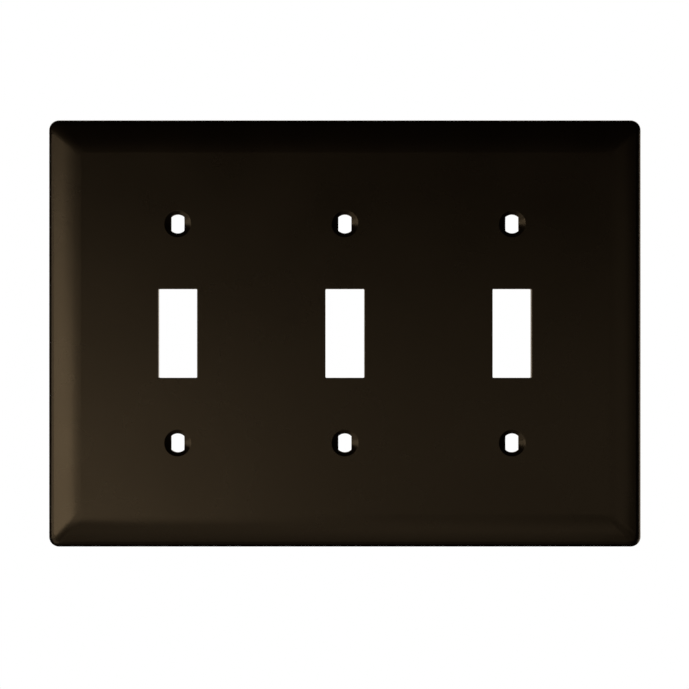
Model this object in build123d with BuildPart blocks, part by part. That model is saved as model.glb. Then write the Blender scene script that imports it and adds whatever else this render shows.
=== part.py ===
from build123d import *
from math import sqrt
import os

# A three-gang toggle switch wall plate, moulded in one piece.
# It stands as it does on a wall: +X is to the right and +Z is up, seen from the front.
# The wall plane is y = 0, the face looks along -Y, and the origin is the plate's centre on the wall.
# Sizes are in millimetres, and a height is measured from the wall plane towards the face.

# Spacings that the switches behind the plate fix
GANGS = 3
GANG_PITCH = 46.0375
SCREW_SPACING = 60.325

# Outline, curved bevel and rounded shoulder
PLATE_WIDTH = 163.6
PLATE_HEIGHT = 117.9
PLATE_DEPTH = 5.6
CORNER_RADIUS = 2.7
BEVEL_WIDTH = 9.2
BEVEL_RADIUS = 20.8
FACE_CORNER_RADIUS = 1.2
SHOULDER_RADIUS = 2.4
BEVEL_STEPS = 4

# Hollow back
WALL = 2.2
RIM_WIDTH = 2.2
HOLLOW_CORNER_RADIUS = 1.2
FLOOR_CORNER_RADIUS = 2.5

# Toggle openings, each with a collar behind the face
OPENING_WIDTH = 10.7
OPENING_HEIGHT = 24.5
OPENING_CORNER_RADIUS = 0.3
COLLAR_WALL = 1.5

# Screw holes: a countersink down to a web that grips the screw, and a round bore in the boss behind it
COUNTERSINK_DIAMETER = 7.3
COUNTERSINK_ANGLE = 110.0
SCREW_DIAMETER = 3.5
WEB_SLOT_DIAMETER = 5.2
WEB_SLOT_WIDTH = 3.6
BORE_DIAMETER = 5.8
BOSS_DIAMETER = 9.6

# Collars, bosses and ribs stop short of the wall plane, to clear the switch yokes
TIP_HEIGHT = 1.5
RIB_THICKNESS = 1.2
CROSS_RIB_SPACING = 43.0

# Round pads that the mould's ejector pins leave on the floor of the hollow
EJECTOR_PAD_DIAMETER = 5.0
EJECTOR_PAD_RISE = 0.15
EJECTOR_ROW_SPACING = 38.0

EDGE_SOFTENING = 0.25
TOLERANCE = 0.01

floor_height = PLATE_DEPTH - WALL
hollow_width = PLATE_WIDTH - 2 * RIM_WIDTH
hollow_height = PLATE_HEIGHT - 2 * RIM_WIDTH


def bevel_height(inset, bevel_radius, top_height):
    """The height of a bevel's arc, which lies flat against the top where the bevel ends."""
    return top_height - bevel_radius + sqrt(bevel_radius**2 - (BEVEL_WIDTH - inset) ** 2)


def bevelled_block(side_inset, bevel_radius, top_height, side_corner, top_corner):
    """Makes a block standing on the wall plane: straight sides, then a curved bevel up to a flat top."""
    with BuildPart() as block:
        with BuildSketch(Plane.XZ):
            RectangleRounded(PLATE_WIDTH - 2 * side_inset, PLATE_HEIGHT - 2 * side_inset, side_corner)
        extrude(amount=bevel_height(side_inset, bevel_radius, top_height))
        for step in range(BEVEL_STEPS + 1):
            share = step / BEVEL_STEPS
            inset = side_inset + (BEVEL_WIDTH - side_inset) * share
            with BuildSketch(Plane.XZ.offset(bevel_height(inset, bevel_radius, top_height))):
                RectangleRounded(
                    PLATE_WIDTH - 2 * inset,
                    PLATE_HEIGHT - 2 * inset,
                    side_corner + (top_corner - side_corner) * share,
                )
        loft()
    return block.part


shell = bevelled_block(0, BEVEL_RADIUS, PLATE_DEPTH, CORNER_RADIUS, FACE_CORNER_RADIUS)
hollow = bevelled_block(
    RIM_WIDTH, BEVEL_RADIUS - WALL, floor_height, HOLLOW_CORNER_RADIUS, FLOOR_CORNER_RADIUS
)

with BuildPart() as wall_plate:
    # Outer form, with a rounded shoulder where the bevel meets the sides
    add(shell)
    side_height = bevel_height(0, BEVEL_RADIUS, PLATE_DEPTH)
    shoulder = wall_plate.edges().filter_by_position(
        Axis.Y, -side_height - TOLERANCE, -side_height + TOLERANCE
    )
    fillet(shoulder, radius=SHOULDER_RADIUS)

    # Hollow behind the face
    add(hollow, mode=Mode.SUBTRACT)

    # Collars, bosses and ribs, between the floor of the hollow and their shared tip height
    with BuildSketch(Plane.XZ.offset(TIP_HEIGHT)):
        with GridLocations(GANG_PITCH, 0, GANGS, 1):
            Rectangle(OPENING_WIDTH + 2 * COLLAR_WALL, OPENING_HEIGHT + 2 * COLLAR_WALL)
        with GridLocations(GANG_PITCH, SCREW_SPACING, GANGS, 2):
            Circle(BOSS_DIAMETER / 2)
        with GridLocations(GANG_PITCH / 2, 0, 2 * GANGS - 1, 1):
            Rectangle(RIB_THICKNESS, hollow_height)
        with GridLocations(0, CROSS_RIB_SPACING, 1, 2):
            Rectangle(hollow_width, RIB_THICKNESS)
    extrude(amount=floor_height - TIP_HEIGHT)

    # Ejector pads, one in the middle of each cell between the ribs
    with BuildSketch(Plane.XZ.offset(floor_height - EJECTOR_PAD_RISE)):
        with GridLocations(GANG_PITCH / 2, EJECTOR_ROW_SPACING, 2 * GANGS, 3):
            Circle(EJECTOR_PAD_DIAMETER / 2)
    extrude(amount=EJECTOR_PAD_RISE)

    # Toggle openings, straight through the face and their collars
    with BuildSketch(Plane.XZ):
        with GridLocations(GANG_PITCH, 0, GANGS, 1):
            RectangleRounded(OPENING_WIDTH, OPENING_HEIGHT, OPENING_CORNER_RADIUS)
    extrude(amount=PLATE_DEPTH, mode=Mode.SUBTRACT)

    # Screw holes: the web's two-flat slot, then the bore behind the web, then the countersink
    with BuildSketch(Plane.XZ):
        with GridLocations(GANG_PITCH, SCREW_SPACING, GANGS, 2):
            Circle(WEB_SLOT_DIAMETER / 2)
        with GridLocations(GANG_PITCH, 0, GANGS, 1):
            Rectangle(WEB_SLOT_WIDTH, PLATE_HEIGHT, mode=Mode.INTERSECT)
    extrude(amount=PLATE_DEPTH, mode=Mode.SUBTRACT)
    with BuildSketch(Plane.XZ):
        with GridLocations(GANG_PITCH, SCREW_SPACING, GANGS, 2):
            Circle(BORE_DIAMETER / 2)
    extrude(amount=floor_height, mode=Mode.SUBTRACT)
    with Locations(Plane.XZ.offset(PLATE_DEPTH)):
        with GridLocations(GANG_PITCH, SCREW_SPACING, GANGS, 2):
            CounterSinkHole(
                radius=SCREW_DIAMETER / 2,
                counter_sink_radius=COUNTERSINK_DIAMETER / 2,
                depth=PLATE_DEPTH,
                counter_sink_angle=COUNTERSINK_ANGLE,
            )

    # Slightly softened edges round every opening in the face
    face = wall_plate.faces().sort_by(Axis.Y)[0]
    fillet(face.inner_wires().edges(), radius=EDGE_SOFTENING)

wall_plate.part.label = "wall_plate"

os.makedirs("parts", exist_ok=True)
export_step(wall_plate.part, "parts/wall_plate.step")
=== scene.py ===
import math

import bmesh
import bpy
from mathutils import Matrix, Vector


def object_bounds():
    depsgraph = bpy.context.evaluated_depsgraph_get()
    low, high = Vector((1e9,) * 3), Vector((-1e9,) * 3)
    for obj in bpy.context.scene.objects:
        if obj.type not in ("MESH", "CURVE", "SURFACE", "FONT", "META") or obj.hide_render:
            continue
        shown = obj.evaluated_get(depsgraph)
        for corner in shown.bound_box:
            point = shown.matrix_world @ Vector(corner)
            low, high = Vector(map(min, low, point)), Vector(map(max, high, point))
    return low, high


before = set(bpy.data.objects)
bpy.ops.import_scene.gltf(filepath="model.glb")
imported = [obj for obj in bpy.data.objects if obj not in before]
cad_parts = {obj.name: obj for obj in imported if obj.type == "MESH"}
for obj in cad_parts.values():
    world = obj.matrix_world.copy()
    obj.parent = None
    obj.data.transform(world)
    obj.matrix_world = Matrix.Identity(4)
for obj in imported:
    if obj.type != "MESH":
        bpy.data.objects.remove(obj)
cad_low, cad_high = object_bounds()

# Camera, in metres: how far it is from the face, and its offsets from the plate's middle.
CAMERA_DISTANCE = 0.700
CAMERA_ACROSS = -0.0001
CAMERA_UP = -0.00305

# Lens, in millimetres.
LENS = 132.9
SENSOR_WIDTH = 36.0

# Floor disc, in metres. It lies so low that a camera under the plate is still above it.
FLOOR_HEIGHT = -0.90
FLOOR_RADIUS = 2.6
FLOOR_SEGMENTS = 96

# The floor's brightness goes from a pale shade to the background's white between these distances.
FLOOR_FADE = (0.32, FLOOR_RADIUS - 0.10)
FLOOR_BRIGHTNESS = (0.80, 1.0)

# Softboxes: name, azimuth, elevation, distance in metres, width and height in degrees, radiance.
# They are placed round the origin, which is the middle of the plate's back. Azimuth 0 is the camera's
# side, and negative is to the camera's left.
SOFTBOXES = [
    ("far_left", -74, -6, 0.80, 24, 28, 1.3),
    ("left", -45, -7, 0.80, 20, 25, 2.7),
    ("left_front", -28, -5, 0.80, 14, 12, 3.5),
    ("near_left", -13, -6, 0.80, 10, 9, 1.2),
    ("low_left", -12, -13, 0.80, 12, 10, 1.4),
    ("front", 4, -5, 0.80, 28, 10, 0.45),
    ("right", 32, -6, 0.80, 26, 20, 0.36),
    ("low_front", 0, -22, 0.80, 20, 13, 0.35),
    ("low", -4, -38, 0.55, 38, 18, 0.38),
    ("low_right", 26, -27, 0.70, 18, 18, 0.2),
    ("low_far_left", -64, -42, 0.50, 34, 34, 0.6),
    ("below", -10, -72, 0.42, 50, 30, 0.1),
    ("back", 180, 12, 0.90, 70, 50, 0.7),
    ("back_side", 128, -12, 0.90, 40, 40, 0.9),
]
LAMP_COLOUR = (1.0, 0.86, 0.70)

# Plastic colours, and the warm tint of its highlights.
DARKER_BROWN = (0.0045, 0.0030, 0.0019, 1)
LIGHTER_BROWN = (0.0080, 0.0054, 0.0034, 1)
HIGHLIGHT_TINT = (1, 0.83, 0.58, 1)

# Plastic noise: features per metre, then detail.
MOTTLE_NOISE = (90, 4)
GLOSS_NOISE = (40, 5)

# This range of the gloss noise is carried to these roughnesses.
GLOSS_NOISE_RANGE = (0.3, 0.7)
ROUGHNESS_RANGE = (0.26, 0.30)

# Bumps, from the soft ripple to the fine grain: height in metres, features per metre.
BUMPS = ((0.000010, 260), (0.000005, 1500))
BUMP_DETAIL = 2


def aim(obj, target):
    """Turns a camera or lamp so that it looks at a point."""
    obj.rotation_euler = (Vector(target) - obj.location).to_track_quat("-Z", "Y").to_euler()


def map_range(nodes, source, target):
    """A node that carries one range of values to another."""
    node = nodes.new("ShaderNodeMapRange")
    for socket, value in zip(("From Min", "From Max", "To Min", "To Max"), (*source, *target)):
        node.inputs[socket].default_value = value
    return node


def make_camera():
    """A camera that looks straight at the face."""
    lens = bpy.data.cameras.new("camera")
    lens.lens = LENS
    lens.sensor_width = SENSOR_WIDTH
    camera = bpy.data.objects.new("camera", lens)
    bpy.context.scene.collection.objects.link(camera)
    camera.location = (CAMERA_ACROSS, cad_low.y - CAMERA_DISTANCE, CAMERA_UP)
    aim(camera, (CAMERA_ACROSS, 0.0, CAMERA_UP))
    bpy.context.scene.camera = camera


def softbox(name, azimuth, elevation, distance, width, height, radiance):
    """A rectangular area lamp of the given radiance, facing the plate and hidden from the camera."""
    lamp = bpy.data.lights.new(name, "AREA")
    lamp.shape = "RECTANGLE"
    lamp.size = 2 * distance * math.tan(math.radians(width) / 2)
    lamp.size_y = 2 * distance * math.tan(math.radians(height) / 2)
    lamp.color = LAMP_COLOUR
    lamp.energy = radiance * math.pi * lamp.size * lamp.size_y
    obj = bpy.data.objects.new(name, lamp)
    bpy.context.scene.collection.objects.link(obj)
    around, up = math.radians(azimuth), math.radians(elevation)
    obj.location = distance * Vector(
        (math.sin(around) * math.cos(up), -math.cos(around) * math.cos(up), math.sin(up))
    )
    aim(obj, (0, 0, 0))
    obj.visible_camera = False


def make_world():
    """White where the camera sees it, and dark to the plate."""
    world = bpy.data.worlds.new("studio")
    world.use_nodes = True
    bpy.context.scene.world = world
    nodes, links = world.node_tree.nodes, world.node_tree.links
    background = nodes["Background"]
    path = nodes.new("ShaderNodeLightPath")
    background.inputs["Color"].default_value = (1, 1, 1, 1)
    links.new(path.outputs["Is Camera Ray"], background.inputs["Strength"])


def floor_glow():
    """The floor's own light, pale grey near the middle and white towards the rim."""
    material = bpy.data.materials.new("floor")
    material.use_nodes = True
    nodes, links = material.node_tree.nodes, material.node_tree.links
    nodes.clear()
    out = nodes.new("ShaderNodeOutputMaterial")
    place = nodes.new("ShaderNodeTexCoord")
    length = nodes.new("ShaderNodeVectorMath")
    length.operation = "LENGTH"
    shade = map_range(nodes, FLOOR_FADE, FLOOR_BRIGHTNESS)
    shade.interpolation_type = "SMOOTHSTEP"
    glow = nodes.new("ShaderNodeEmission")
    links.new(place.outputs["Object"], length.inputs[0])
    links.new(length.outputs["Value"], shade.inputs["Value"])
    links.new(shade.outputs["Result"], glow.inputs["Strength"])
    links.new(glow.outputs[0], out.inputs["Surface"])
    return material


def make_floor():
    """A pale disc well below the plate, which lights nothing and doesn't show in reflections."""
    mesh = bpy.data.meshes.new("floor")
    disc = bmesh.new()
    bmesh.ops.create_circle(disc, cap_ends=True, segments=FLOOR_SEGMENTS, radius=FLOOR_RADIUS)
    disc.to_mesh(mesh)
    disc.free()
    mesh.materials.append(floor_glow())
    floor = bpy.data.objects.new("floor", mesh)
    bpy.context.scene.collection.objects.link(floor)
    floor.location.z = FLOOR_HEIGHT
    floor.visible_glossy = False
    floor.visible_diffuse = False


def plastic():
    """Very dark brown moulded plastic: satin, faintly mottled, with a soft ripple and a fine grain."""
    material = bpy.data.materials.new("brown_plastic")
    material.use_nodes = True
    nodes, links = material.node_tree.nodes, material.node_tree.links
    shader = nodes["Principled BSDF"]
    shader.inputs["Specular Tint"].default_value = HIGHLIGHT_TINT
    place = nodes.new("ShaderNodeTexCoord")

    def noise(features_per_metre, detail):
        texture = nodes.new("ShaderNodeTexNoise")
        texture.inputs["Scale"].default_value = features_per_metre
        texture.inputs["Detail"].default_value = detail
        links.new(place.outputs["Object"], texture.inputs["Vector"])
        return texture.outputs["Fac"]

    mottle = nodes.new("ShaderNodeMix")
    mottle.data_type = "RGBA"
    mottle.inputs["A"].default_value = DARKER_BROWN
    mottle.inputs["B"].default_value = LIGHTER_BROWN
    links.new(noise(*MOTTLE_NOISE), mottle.inputs["Factor"])
    links.new(mottle.outputs["Result"], shader.inputs["Base Color"])

    gloss = map_range(nodes, GLOSS_NOISE_RANGE, ROUGHNESS_RANGE)
    links.new(noise(*GLOSS_NOISE), gloss.inputs["Value"])
    links.new(gloss.outputs["Result"], shader.inputs["Roughness"])

    normal = None
    for height, features_per_metre in BUMPS:
        bump = nodes.new("ShaderNodeBump")
        bump.inputs["Distance"].default_value = height
        links.new(noise(features_per_metre, BUMP_DETAIL), bump.inputs["Height"])
        if normal:
            links.new(normal, bump.inputs["Normal"])
        normal = bump.outputs["Normal"]
    links.new(normal, shader.inputs["Normal"])
    return material


make_camera()
make_world()
make_floor()
for box in SOFTBOXES:
    softbox(*box)

bpy.context.scene.view_settings.view_transform = "Standard"

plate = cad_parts["wall_plate"]
plate.material_slots[0].material = plastic()
